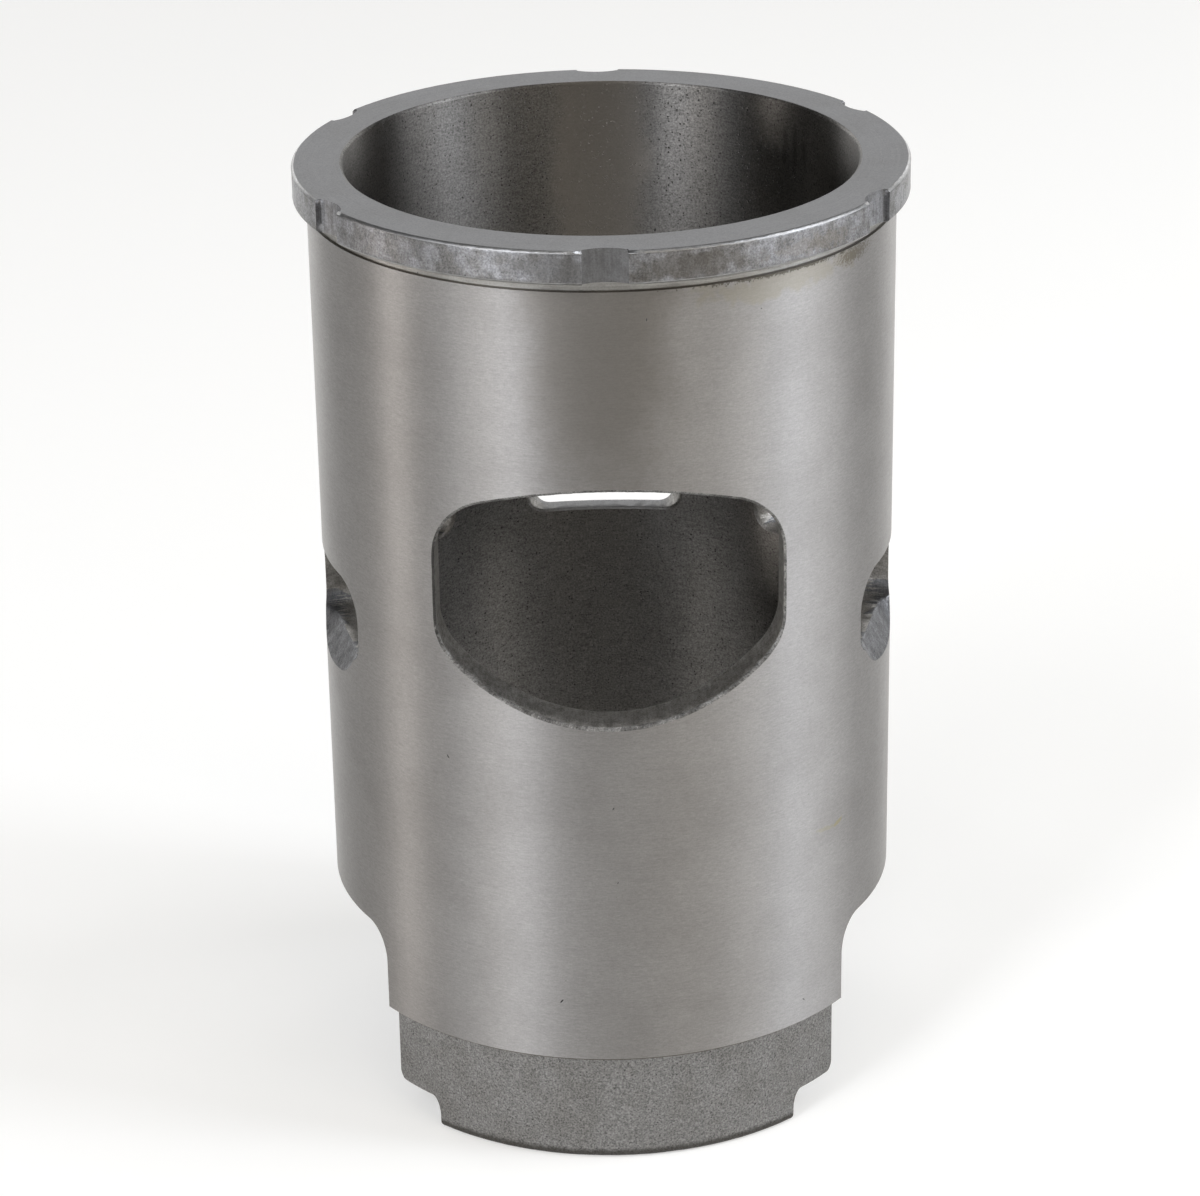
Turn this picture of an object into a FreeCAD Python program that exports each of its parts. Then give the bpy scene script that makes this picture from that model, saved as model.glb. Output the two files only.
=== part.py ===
"""Cylinder liner of a two-stroke engine, turned and milled from one grey iron casting.

Frame: millimetres, +Z up along the bore's axis, origin on that axis in the plane of the
skirt's feet. The exhaust port faces -Y, the boost port +Y, and the two transfer ports of
each side face -X and +X. Port heights are depths below the deck, the liner's top face,
and azimuths are degrees round the axis from the exhaust port towards +X.
"""
import FreeCAD
import Part
import math
import os

# Turned sizes, with each diameter built outwards from the bore
total_length = 153.7
bore_diameter = 80.0
body_wall = 5.8
body_end_depth = 134.8
flange_step = 2.1
flange_thickness = 5.2
relief_step = 0.4
relief_width = 1.7
relief_root_bevel = 0.5
skirt_step = 1.8

# Edge breaks of the turned faces
flange_edge_break = 0.4
body_edge_break = 0.3
skirt_edge_radius = 1.0
bore_deck_chamfer = 0.45
bore_lead_in = 1.6
bore_lead_in_length = 3.0

# Stud clearances round the flange
stud_notch_count = 6
stud_notch_width = 6.8
stud_notch_side = 0.9
stud_notch_depth = 1.9

# Exhaust port, given on its centre line at the outside of the body
exhaust_half_width = 27.1
exhaust_roof_depth = 38.2
exhaust_floor_depth = 76.8
exhaust_roof_radius = 66.0
exhaust_floor_radius = 39.0
exhaust_upper_corner = 11.0
exhaust_lower_corner = 8.5
exhaust_draft = 4.0
exhaust_rim_bevel = 0.5

# Transfer ports, two on each side, parted by a bridge whose width is given in the bore
transfer_roof_depth = 62.3
transfer_floor_depth = 75.6
transfer_upper_corner = 6.2
transfer_lower_corner = 3.0
main_transfer_azimuth = 76.0
main_transfer_half_width = 13.2
second_transfer_half_width = 12.5
transfer_bridge = 5.95

# Ramp that leads the charge up over the lower lip of each transfer port
ramp_foot_depth = 79.9
ramp_run = 2.8
ramp_inset = 0.5
ramp_corner = 6.5

# Boost port, given on its centre line at the bore
boost_azimuth = 180.0
boost_half_width = 12.6
boost_roof_depth = 62.3
boost_floor_depth = 75.4
boost_corner = 2.6
boost_climb = 10.0
boost_side_draft = 9.0

# Bevel of the ports' edges in the bore, which the piston rings pass over
ring_edge_bevel = 0.4

# Side cut-outs that leave the skirt as a front tongue and a rear tongue
cutout_azimuth = 90.0
tongue_half_angle = 53.1
foot_half_angle = 40.6
cutout_roof_depth = 120.5
foot_shoulder_depth = 148.3
cutout_roof_corner = 6.0
shoulder_corner = 1.8
foot_root_corner = 3.4
foot_tip_corner = 1.4

# How far a cutter reaches past the metal it cuts
overrun = 3.0

# Most of a side that the roundings at its two ends may take up
rounded_share = 0.98

bore_radius = bore_diameter / 2
body_radius = bore_radius + body_wall
flange_radius = body_radius + flange_step
relief_radius = body_radius - relief_step
skirt_radius = body_radius - skirt_step
cutter_start = bore_radius / 2
cutter_end = body_radius + overrun

axis_foot = FreeCAD.Vector(0, 0, 0)
axis_direction = FreeCAD.Vector(0, 0, 1)
# How near a round wall an edge has to lie to be one of its edges
wall_tolerance = 0.001


def height_at(depth):
    """Height above the skirt's feet of a plane this deep below the deck."""
    return total_length - depth


def angle_in_bore(width):
    """Degrees round the axis that a chord of this half width takes to one side."""
    return math.degrees(math.asin(width / bore_radius))


def at_azimuth(shape, azimuth):
    """Copy of a shape turned about the axis from the exhaust side."""
    copy = shape.copy()
    copy.rotate(axis_foot, axis_direction, azimuth)
    return copy


def on_face(distance, across, height):
    """Point of the plane that stands square to -Y at a distance from the axis."""
    return FreeCAD.Vector(across, -distance, height)


def arc(points):
    """Circular edge through three points."""
    start, middle, end = points
    return Part.Arc(start, middle, end).toShape()


def line(start, end):
    """Straight edge between two points."""
    return Part.LineSegment(start, end).toShape()


def rounded_wire(distance, corners):
    """Closed outline of corners (across, height, radius), each rounded to its radius.

    Where a side is too short for the roundings at its two ends, they give way to it.
    """
    points = [on_face(distance, across, height) for across, height, radius in corners]
    ahead = [points[(index + 1) % len(points)] - point for index, point in enumerate(points)]
    half_turns = [
        (ahead[index - 1] * -1).getAngle(way) / 2 for index, way in enumerate(ahead)
    ]
    trims = [
        corner[2] / math.tan(half_turn) for corner, half_turn in zip(corners, half_turns)
    ]
    shares = []
    for index, way in enumerate(ahead):
        taken = trims[index] + trims[(index + 1) % len(trims)]
        shares.append(min(1, rounded_share * way.Length / taken) if taken > 0 else 1)
    stretches = []
    for index, corner in enumerate(points):
        share = min(shares[index - 1], shares[index])
        radius = corners[index][2] * share
        trim = trims[index] * share
        if radius > 0:
            onward = FreeCAD.Vector(ahead[index]).normalize()
            backward = FreeCAD.Vector(ahead[index - 1]).normalize() * -1
            inset = radius / math.sin(half_turns[index]) - radius
            middle = corner + (onward + backward).normalize() * inset
            stretches.append((corner + backward * trim, middle, corner + onward * trim))
        else:
            stretches.append((corner,))
    edges = []
    for index, stretch in enumerate(stretches):
        if len(stretch) > 1:
            edges.append(arc(stretch))
        edges.append(line(stretch[-1], stretches[(index + 1) % len(stretches)][0]))
    return Part.Wire(edges)


def mirrored(right_side):
    """Whole outline of corners, from those of its right side in order from the top."""
    left_side = [(-across, height, radius) for across, height, radius in reversed(right_side)]
    return right_side + left_side


def land_foot():
    """Height where the plain wall ends, a corner's radius above the exhaust port."""
    return height_at(exhaust_roof_depth - exhaust_upper_corner)


def second_transfer_azimuth():
    """Azimuth of the second transfer port, one bridge behind the main one in the bore."""
    bridge = math.degrees(transfer_bridge / bore_radius)
    main_rear = main_transfer_azimuth + angle_in_bore(main_transfer_half_width)
    return main_rear + bridge + angle_in_bore(second_transfer_half_width)


def turned_blank():
    """The liner as it leaves the lathe, with its bore, flange, relief, body and skirt.

    The profile is drawn towards +X and turned, so that the round faces close on themselves
    in the plain wall between the second transfer port and the boost port.
    """
    drawn_azimuth = 90
    deck = height_at(0)
    flange_foot = height_at(flange_thickness)
    relief_foot = height_at(flange_thickness + relief_width)
    body_foot = height_at(body_end_depth)
    section = Part.Face(rounded_wire(0, [
        (bore_radius + bore_lead_in, 0, 0),
        (skirt_radius, 0, skirt_edge_radius),
        (skirt_radius, body_foot, 0),
        (body_radius - body_edge_break, body_foot, 0),
        (body_radius, body_foot + body_edge_break, 0),
        (body_radius, land_foot(), 0),
        (body_radius, relief_foot, 0),
        (relief_radius, relief_foot, 0),
        (relief_radius, flange_foot - relief_root_bevel, 0),
        (relief_radius + relief_root_bevel, flange_foot, 0),
        (flange_radius - flange_edge_break, flange_foot, 0),
        (flange_radius, flange_foot + flange_edge_break, 0),
        (flange_radius, deck - flange_edge_break, 0),
        (flange_radius - flange_edge_break, deck, 0),
        (bore_radius + bore_deck_chamfer, deck, 0),
        (bore_radius, deck - bore_deck_chamfer, 0),
        (bore_radius, land_foot(), 0),
        (bore_radius, bore_lead_in_length, 0),
    ]))
    seam_azimuth = (second_transfer_azimuth() + boost_azimuth) / 2
    blank = section.revolve(axis_foot, axis_direction, 360)
    return at_azimuth(blank, seam_azimuth - drawn_azimuth)


def stud_notch_cutters():
    """Scallops that clear the studs, cut down through the flange at even spacing."""
    half_width = stud_notch_width / 2
    shoulder = math.sqrt(flange_radius ** 2 - half_width ** 2) - stud_notch_side
    outside = flange_radius + overrun
    foot = height_at(flange_thickness + relief_width / 2)
    left_outer = on_face(outside, -half_width, foot)
    left_inner = on_face(shoulder, -half_width, foot)
    middle = on_face(flange_radius - stud_notch_depth, 0, foot)
    right_inner = on_face(shoulder, half_width, foot)
    right_outer = on_face(outside, half_width, foot)
    outline = Part.Wire([
        line(left_outer, left_inner),
        arc((left_inner, middle, right_inner)),
        line(right_inner, right_outer),
        line(right_outer, left_outer),
    ])
    reach = height_at(0) + overrun - foot
    cutter = Part.Face(outline).extrude(FreeCAD.Vector(0, 0, reach))
    step = 360 / stud_notch_count
    return [at_azimuth(cutter, index * step) for index in range(stud_notch_count)]


def exhaust_corner(half_width, crest, up, arc_radius, corner_radius):
    """Points (across, height) of the corner from a wide end arc to the side wall."""
    arc_centre = crest - up * arc_radius
    centre_across = half_width - corner_radius
    rise = math.sqrt((arc_radius - corner_radius) ** 2 - centre_across ** 2)
    centre_height = arc_centre + up * rise
    lean = math.atan2(rise, centre_across)
    return [
        (
            centre_across + corner_radius * math.cos(angle),
            centre_height + up * corner_radius * math.sin(angle),
        )
        for angle in (lean, lean / 2, 0)
    ]


def exhaust_outline(distance):
    """Exhaust port's outline on one plane: arched roof, straight sides and bowl-shaped floor.

    The draft widens the port on its way out, so every size grows with the distance.
    """
    growth = (distance - body_radius) * math.tan(math.radians(exhaust_draft))
    half_width = exhaust_half_width + growth
    roof = height_at(exhaust_roof_depth) + growth
    floor = height_at(exhaust_floor_depth) - growth
    upper = exhaust_corner(
        half_width, roof, 1, exhaust_roof_radius + growth, exhaust_upper_corner + growth
    )
    lower = exhaust_corner(
        half_width, floor, -1, exhaust_floor_radius + growth, exhaust_lower_corner + growth
    )
    right_upper = [on_face(distance, across, height) for across, height in upper]
    left_upper = [on_face(distance, -across, height) for across, height in upper]
    right_lower = [on_face(distance, across, height) for across, height in lower]
    left_lower = [on_face(distance, -across, height) for across, height in lower]
    return Part.Wire([
        arc((right_upper[0], on_face(distance, 0, roof), left_upper[0])),
        arc(left_upper),
        line(left_upper[-1], left_lower[-1]),
        arc(left_lower[::-1]),
        arc((left_lower[0], on_face(distance, 0, floor), right_lower[0])),
        arc(right_lower),
        line(right_lower[-1], right_upper[-1]),
        arc(right_upper[::-1]),
    ])


def exhaust_cutter():
    """Drafted exhaust port, from inside the bore to outside the body."""
    return Part.makeLoft([exhaust_outline(cutter_start), exhaust_outline(cutter_end)], True, True)


def transfer_cutter(azimuth, half_width):
    """Straight window of one transfer port, square to its own azimuth."""
    window = rounded_wire(cutter_start, mirrored([
        (half_width, height_at(transfer_roof_depth), transfer_upper_corner),
        (half_width, height_at(transfer_floor_depth), transfer_lower_corner),
    ]))
    reach = FreeCAD.Vector(0, cutter_start - cutter_end, 0)
    return at_azimuth(Part.Face(window).extrude(reach), azimuth)


def ramp_cutter(azimuth, half_width):
    """Sloping cut that takes the outer half of a transfer port's lower lip away.

    It falls outwards from the port's floor, and its upper end stays inside the window.
    """
    side = half_width - ramp_inset
    top = height_at((transfer_roof_depth + transfer_floor_depth) / 2)
    slope = (ramp_foot_depth - transfer_floor_depth) / ramp_run
    crest_distance = body_radius - ramp_run
    ends = []
    for distance in (crest_distance, cutter_end):
        fall = (distance - crest_distance) * slope
        ends.append(rounded_wire(distance, mirrored([
            (side, top, 0),
            (side, height_at(transfer_floor_depth) - fall, ramp_corner),
        ])))
    return at_azimuth(Part.makeLoft(ends, True, True), azimuth)


def boost_outline(distance):
    """Boost port's outline on one plane: it climbs towards the bore and opens out to it."""
    outward = distance - bore_radius
    half_width = boost_half_width - outward * math.tan(math.radians(boost_side_draft))
    drop = outward * math.tan(math.radians(boost_climb))
    return rounded_wire(distance, mirrored([
        (half_width, height_at(boost_roof_depth) - drop, boost_corner),
        (half_width, height_at(boost_floor_depth) - drop, boost_corner),
    ]))


def boost_cutter():
    """Boost port, from inside the bore to outside the body."""
    port = Part.makeLoft([boost_outline(cutter_start), boost_outline(cutter_end)], True, True)
    return at_azimuth(port, boost_azimuth)


def cutout_cutter(azimuth):
    """Cut-out of one side of the skirt, whose walls all run straight towards the axis.

    The outline has its true corner radii in the plane where the tongue's edge meets the
    body. Scaled copies of it, nearer the axis and further out, end the cutter.
    """
    distance = body_radius * math.sin(math.radians(tongue_half_angle))
    tongue = distance / math.tan(math.radians(tongue_half_angle))
    foot = distance / math.tan(math.radians(foot_half_angle))
    beyond = foot + 2 * foot_tip_corner
    outline = rounded_wire(distance, mirrored([
        (tongue, height_at(cutout_roof_depth), cutout_roof_corner),
        (tongue, height_at(foot_shoulder_depth), shoulder_corner),
        (foot, height_at(foot_shoulder_depth), foot_root_corner),
        (foot, 0, foot_tip_corner),
        (beyond, 0, 0),
        (beyond, -overrun, 0),
    ]))
    ends = []
    for reach in (cutter_start, cutter_end):
        towards_axis = FreeCAD.Matrix()
        towards_axis.scale(reach / distance, reach / distance, 1)
        ends.append(outline.transformGeometry(towards_axis))
    return at_azimuth(Part.makeLoft(ends, True, True), azimuth)


def port_edges(solid, radius, on_side):
    """Edges that the ports cut in the round wall of this radius, on the side asked for."""
    lowest = height_at((exhaust_floor_depth + cutout_roof_depth) / 2)
    found = []
    for edge in solid.Edges:
        start, end = edge.ParameterRange
        points = [edge.valueAt(parameter) for parameter in (start, (start + end) / 2, end)]
        in_wall = all(abs(math.hypot(at.x, at.y) - radius) < wall_tolerance for at in points)
        in_belt = all(lowest < at.z < land_foot() for at in points)
        if in_wall and in_belt and all(on_side(at) for at in points):
            found.append(edge)
    return found


def with_finished_edges(liner):
    """The liner with its port edges bevelled in the bore, and the exhaust port's rim too."""
    in_bore = port_edges(liner, bore_radius, lambda at: True)
    eased = liner.makeChamfer(ring_edge_bevel, in_bore)
    rim = port_edges(
        eased, body_radius, lambda at: at.y < 0 and abs(at.x) < exhaust_half_width
    )
    return eased.makeChamfer(exhaust_rim_bevel, rim)


def cylinder_liner():
    """The finished liner: the turned blank less its notches, ports and cut-outs."""
    cutters = stud_notch_cutters()
    cutters.append(exhaust_cutter())
    cutters.append(boost_cutter())
    for side in (-1, 1):
        for azimuth, half_width in (
            (main_transfer_azimuth, main_transfer_half_width),
            (second_transfer_azimuth(), second_transfer_half_width),
        ):
            cutters.append(transfer_cutter(side * azimuth, half_width))
            cutters.append(ramp_cutter(side * azimuth, half_width))
        cutters.append(cutout_cutter(side * cutout_azimuth))
    return with_finished_edges(turned_blank().cut(cutters))


def main():
    os.makedirs("parts", exist_ok=True)
    liner = cylinder_liner()
    if len(liner.Solids) != 1 or not liner.isValid():
        raise RuntimeError("the liner is not one valid solid")
    liner.Solids[0].exportStep("parts/cylinder_liner.step")


if __name__ == "__main__":
    main()
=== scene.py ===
"""Looks of a ported cylinder liner: a ground, honed and milled grey iron sleeve in a studio.

Places are metres, with +Z up the bore and the exhaust port facing -Y. Azimuths are degrees
round the bore's axis, from the exhaust side towards +X, and depths are measured down from
the deck. What a finish is made of is given in millimetres.
"""
import logging
import math
from dataclasses import dataclass, field, replace
from enum import Enum
from functools import reduce

import bmesh
import bpy
import numpy as np
from mathutils import Matrix, Vector


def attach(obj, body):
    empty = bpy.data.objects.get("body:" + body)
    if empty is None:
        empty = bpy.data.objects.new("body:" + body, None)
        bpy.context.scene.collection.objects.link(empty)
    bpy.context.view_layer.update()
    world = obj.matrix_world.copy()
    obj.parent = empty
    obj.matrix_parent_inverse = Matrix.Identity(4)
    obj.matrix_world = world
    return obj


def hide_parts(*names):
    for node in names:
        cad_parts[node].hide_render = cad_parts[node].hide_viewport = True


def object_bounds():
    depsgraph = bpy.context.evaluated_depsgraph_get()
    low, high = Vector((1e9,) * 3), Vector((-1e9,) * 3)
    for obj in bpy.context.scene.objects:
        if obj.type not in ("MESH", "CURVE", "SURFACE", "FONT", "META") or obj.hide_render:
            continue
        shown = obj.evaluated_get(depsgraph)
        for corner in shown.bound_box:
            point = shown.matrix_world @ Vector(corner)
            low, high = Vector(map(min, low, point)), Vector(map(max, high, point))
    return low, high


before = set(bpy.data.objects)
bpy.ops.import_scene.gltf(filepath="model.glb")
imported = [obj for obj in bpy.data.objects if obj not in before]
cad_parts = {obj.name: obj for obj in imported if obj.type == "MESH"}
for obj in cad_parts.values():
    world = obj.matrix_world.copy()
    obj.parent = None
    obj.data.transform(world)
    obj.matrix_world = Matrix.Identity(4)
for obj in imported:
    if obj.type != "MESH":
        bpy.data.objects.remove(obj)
cad_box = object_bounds()

LOG = logging.getLogger("cylinder_liner")
MM = 0.001

HONE_SLOPE = math.radians(22)
RAMP_STREAK = math.radians(38)
NICK_TONE = (0.02, 0.02, 0.02)
PIT_TONE = (0.03, 0.028, 0.025)
ALL_ROUND = 1000.0
WHITE = (1.0, 1.0, 1.0, 1.0)

Socket = bpy.types.NodeSocket
Tone = tuple[float, float, float]
Plane = tuple[tuple[float, float, float], tuple[float, float, float]]


class Zone(Enum):
    """Surfaces of the liner that were finished in different ways."""

    GROUND_BODY = 0
    DECK = 1
    FLANGE_RIM = 2
    STUD_NOTCH = 3
    TURNED_STEP = 4
    HONED_BORE = 5
    PORT_WALL = 6
    PORT_RIM = 7
    TRANSFER_RAMP = 8
    CAST_SKIRT = 9
    MILLED_CUTOUT = 10
    BROKEN_EDGE = 11


class Lay(Enum):
    """Directions in which tools left their marks."""

    AROUND = "marks round the wall"
    UPRIGHT = "upright marks"
    FACED = "rings on a faced end"
    RISING = "rising hone marks"
    FALLING = "falling hone marks"
    OBLIQUE = "oblique marks"
    THROUGH_PORT = "marks through the port"


@dataclass(frozen=True)
class LinerSizes:
    """Sizes of the liner that the finishes and the slicing need, in metres."""

    total_length: float = cad_box[1].z - cad_box[0].z
    bore_radius: float = 40.0 * MM
    body_radius: float = 45.8 * MM
    flange_radius: float = 47.9 * MM
    relief_radius: float = 45.4 * MM
    skirt_radius: float = 44.0 * MM
    flange_thickness: float = 5.2 * MM
    flange_edge: float = 0.45 * MM
    relief_width: float = 1.7 * MM
    body_end_depth: float = 134.8 * MM
    exhaust_roof_depth: float = 38.2 * MM
    exhaust_floor_depth: float = 76.8 * MM
    exhaust_half_width: float = 27.1 * MM
    ramp_foot_depth: float = 79.9 * MM

    def height(self, depth: float) -> float:
        """Height above the feet of a plane this deep below the deck."""
        return self.total_length - depth

    @property
    def port_centre(self) -> float:
        """Height of the middle of the exhaust port."""
        return self.height((self.exhaust_roof_depth + self.exhaust_floor_depth) / 2)

    @property
    def port_reach(self) -> float:
        """Mean distance from the middle of the exhaust port to its rim."""
        return (self.exhaust_floor_depth - self.exhaust_roof_depth) / 4 + self.exhaust_half_width / 2


def lattice_noise(points: np.ndarray, spacing: float, seed: int) -> np.ndarray:
    """Smooth noise from -1 to 1.

    Random values stand at the corners of a cubic lattice. Inside a cell they are blended by
    the product of one weight per axis, each weight being 3 s^2 - 2 s^3 of the way s across.

    Args:
        points: Places to read the noise at, one row each.
        spacing: Side of a lattice cell.
        seed: Picks the random values.

    Returns:
        One value per point.
    """
    values = np.random.default_rng(seed).uniform(-1, 1, 8192)
    primes = np.array([73856093, 19349663, 83492791])
    cell = np.floor(points / spacing).astype(np.int64)
    way = points / spacing - cell
    weight = way * way * (3 - 2 * way)
    total = np.zeros(len(points))
    for corner in np.ndindex(2, 2, 2):
        share = np.where(corner, weight, 1 - weight).prod(axis=1)
        mixed = (cell + corner) * primes
        total += share * values[(mixed[:, 0] ^ mixed[:, 1] ^ mixed[:, 2]) % len(values)]
    return total


def mixed_noise(
    points: np.ndarray, spacings: tuple[float, float], share: float, seeds: tuple[int, int]
) -> np.ndarray:
    """Noise of two spacings, the first of which gets this share and the second the rest."""
    fine, coarse = (lattice_noise(points, *kind) for kind in zip(spacings, seeds))
    return share * fine + (1 - share) * coarse


def read_vectors(items: bpy.types.bpy_prop_collection, name: str) -> np.ndarray:
    """A property of a mesh's items, as one row of three floats per item.

    Args:
        items: Vertices, corners or faces of a mesh.
        name: Blender's name of the property.

    Returns:
        The rows.
    """
    values = np.zeros(len(items) * 3, np.float32)
    items.foreach_get(name, values)
    return values.reshape(-1, 3).astype(float)


def read_numbers(items: bpy.types.bpy_prop_collection, name: str) -> np.ndarray:
    """A property of a mesh's items, as one whole number per item.

    Args:
        items: Vertices, corners or faces of a mesh.
        name: Blender's name of the property.

    Returns:
        The numbers.
    """
    values = np.zeros(len(items), np.int32)
    items.foreach_get(name, values)
    return values


class Board:
    """Node tree with short calls to add nodes and join them."""

    def __init__(self, tree: bpy.types.NodeTree) -> None:
        """Empties the tree and starts to fill it."""
        self.tree = tree
        tree.nodes.clear()

    def add(self, kind: str, inputs: dict | None = None, **settings) -> bpy.types.Node:
        """Adds a node.

        Args:
            kind: Blender's name of the node's type, without its ShaderNode prefix.
            inputs: Value or output socket for each input, by its name or its number.
            **settings: Properties of the node.

        Returns:
            The new node.
        """
        node = self.tree.nodes.new(kind if kind.startswith("NodeGroup") else "ShaderNode" + kind)
        for name, value in settings.items():
            setattr(node, name, value)
        for name, value in (inputs or {}).items():
            self.feed(node.inputs[name], value)
        return node

    def feed(self, socket: Socket, value: object) -> None:
        """Links an output to a socket, or sets the socket's own value."""
        if isinstance(value, bpy.types.NodeSocket):
            self.tree.links.new(value, socket)
        else:
            socket.default_value = value

    def math(self, operation: str, *values: object) -> Socket:
        """Result of a Math node on one to three values.

        Args:
            operation: Blender's name of the operation.
            *values: Numbers or output sockets.

        Returns:
            The node's output.
        """
        node = self.add("Math", operation=operation)
        for socket, value in zip(node.inputs, values):
            self.feed(socket, value)
        return node.outputs[0]

    def total(self, *values: object) -> Socket:
        """Sum of two or more values."""
        return reduce(lambda first, second: self.math("ADD", first, second), values)

    def times(self, *values: object) -> Socket:
        """Product of two or more values."""
        return reduce(lambda first, second: self.math("MULTIPLY", first, second), values)

    def diagonal(self, x: Socket, y: Socket) -> Socket:
        """Square root of the sum of two squares."""
        squares = self.total(self.times(x, x), self.times(y, y))
        return self.math("SQRT", squares)

    def split(self, vector: Socket) -> tuple[Socket, Socket, Socket]:
        """The three parts of a vector."""
        parts = self.add("SeparateXYZ", {"Vector": vector}).outputs
        return parts[0], parts[1], parts[2]

    def join(self, x: object, y: object, z: object) -> Socket:
        """Vector of three parts."""
        return self.add("CombineXYZ", {"X": x, "Y": y, "Z": z}).outputs[0]

    def scaled(self, vector: Socket, factor: object) -> Socket:
        """Vector made longer by a factor."""
        return self.add("VectorMath", {"Vector": vector, "Scale": factor}, operation="SCALE").outputs[0]

    def turned(self, vector: Socket, angle: object, axis: str) -> Socket:
        """Vector turned about one of the three axes, which is given as X_AXIS and so on."""
        return self.add("VectorRotate", {"Vector": vector, "Angle": angle}, rotation_type=axis).outputs[0]

    def place(self) -> Socket:
        """Place on the liner in millimetres."""
        return self.scaled(self.add("TexCoord").outputs["Object"], 1 / MM)

    def noise(self, vector: Socket, detail: float = 2.0, rough: float = 0.5) -> Socket:
        """Fractal noise of cell size 1, nearly all of it between -1 and 1."""
        raw = self.add("TexNoise", {"Vector": vector, "Scale": 1.0, "Detail": detail, "Roughness": rough})
        return self.add("MapRange", {
            "Value": raw.outputs[0], "From Min": 0.25, "From Max": 0.75, "To Min": -1.0, "To Max": 1.0
        }).outputs[0]

    def step(self, value: object, low: object, high: object) -> Socket:
        """Smooth step from 0 at the low value to 1 at the high one."""
        return self.add("MapRange", {
            "Value": value, "From Min": low, "From Max": high
        }, interpolation_type="SMOOTHSTEP").outputs[0]

    def mix(self, share: object, first: object, second: object, blend: str = "MIX") -> Socket:
        """Colour between two colours, or their blend.

        Args:
            share: How much of the second colour or of the blend counts.
            first: The first colour.
            second: The second colour.
            blend: Blender's name of the blend.

        Returns:
            The colour's output.
        """
        node = self.add("Mix", data_type="RGBA", blend_type=blend)
        for index, value in ((0, share), (6, first), (7, second)):
            self.feed(node.inputs[index], value)
        return node.outputs[2]

    def group(self, tree: bpy.types.NodeTree, inputs: dict[str, object]) -> Socket:
        """First output of a shader group that is given these inputs."""
        return self.add("Group", inputs, node_tree=tree).outputs[0]


def new_group(name: str, inputs: dict[str, float], output: str) -> tuple[Board, dict, Socket]:
    """Starts a shader group with one output value.

    Args:
        name: The group's name.
        inputs: Default of each input value.
        output: Name of the output.

    Returns:
        Its board, its inputs by name, and the socket that takes its result.
    """
    tree = bpy.data.node_groups.new(name, "ShaderNodeTree")
    for label, default in inputs.items():
        socket = tree.interface.new_socket(label, in_out="INPUT", socket_type="NodeSocketFloat")
        socket.default_value = default
    tree.interface.new_socket(output, in_out="OUTPUT", socket_type="NodeSocketFloat")
    board = Board(tree)
    given = board.add("NodeGroupInput").outputs
    result = board.add("NodeGroupOutput").inputs[output]
    return board, {label: given[label] for label in inputs}, result


def tool_lines_group(lay: Lay) -> bpy.types.NodeTree:
    """Group of tool marks of one lay: noise whose cells are narrow across the marks.

    Marks round the wall are squeezed along Z, and upright ones across it. Rings run at even
    distances from the axis. Hone marks are upright ones on a wall that is twisted about the
    axis in step with its height. Oblique marks are upright ones in a space that is tipped
    about X. Marks through the exhaust port are spaced by the direction from the port's middle.

    Args:
        lay: Direction of the marks.

    Returns:
        The group, which puts out values from -1 to 1.
    """
    board, given, result = new_group(lay.value, {"Line Width": 0.3, "Line Length": 5.0}, "Lines")
    width, length = given["Line Width"], given["Line Length"]
    place = board.place()
    sizes = LinerSizes()
    if lay in (Lay.RISING, Lay.FALLING):
        slope = math.tan(HONE_SLOPE) * (1 if lay is Lay.RISING else -1)
        turn = board.math("DIVIDE", board.split(place)[2], slope * sizes.bore_radius / MM)
        place = board.turned(place, turn, "Z_AXIS")
    if lay is Lay.OBLIQUE:
        place = board.turned(place, RAMP_STREAK, "X_AXIS")
    x, y, z = board.split(place)
    if lay is Lay.AROUND:
        steps = ((x, length), (y, length), (z, width))
    elif lay is Lay.FACED:
        steps = ((x, length), (y, length), (board.diagonal(x, y), width))
    elif lay is Lay.THROUGH_PORT:
        rise = board.math("SUBTRACT", z, sizes.port_centre / MM)
        way = board.add("VectorMath", {0: board.join(x, 0.0, rise)}, operation="NORMALIZE").outputs[0]
        across, _, upwards = board.split(board.scaled(way, sizes.port_reach / MM))
        steps = ((across, width), (y, length), (upwards, width))
    else:
        steps = ((x, width), (y, width), (z, length))
    cells = board.join(*(board.math("DIVIDE", part, size) for part, size in steps))
    board.feed(result, board.noise(cells))
    return board.tree


def sand_group() -> bpy.types.NodeTree:
    """Group of grain with no direction, or of large clouds.

    Returns:
        The group, which puts out values from -1 to 1.
    """
    board, given, result = new_group("sand", {"Grain Size": 0.3, "Detail": 2.0}, "Sand")
    cells = board.scaled(board.place(), board.math("DIVIDE", 1.0, given["Grain Size"]))
    board.feed(result, board.noise(cells, given["Detail"], 0.6))
    return board.tree


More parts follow.
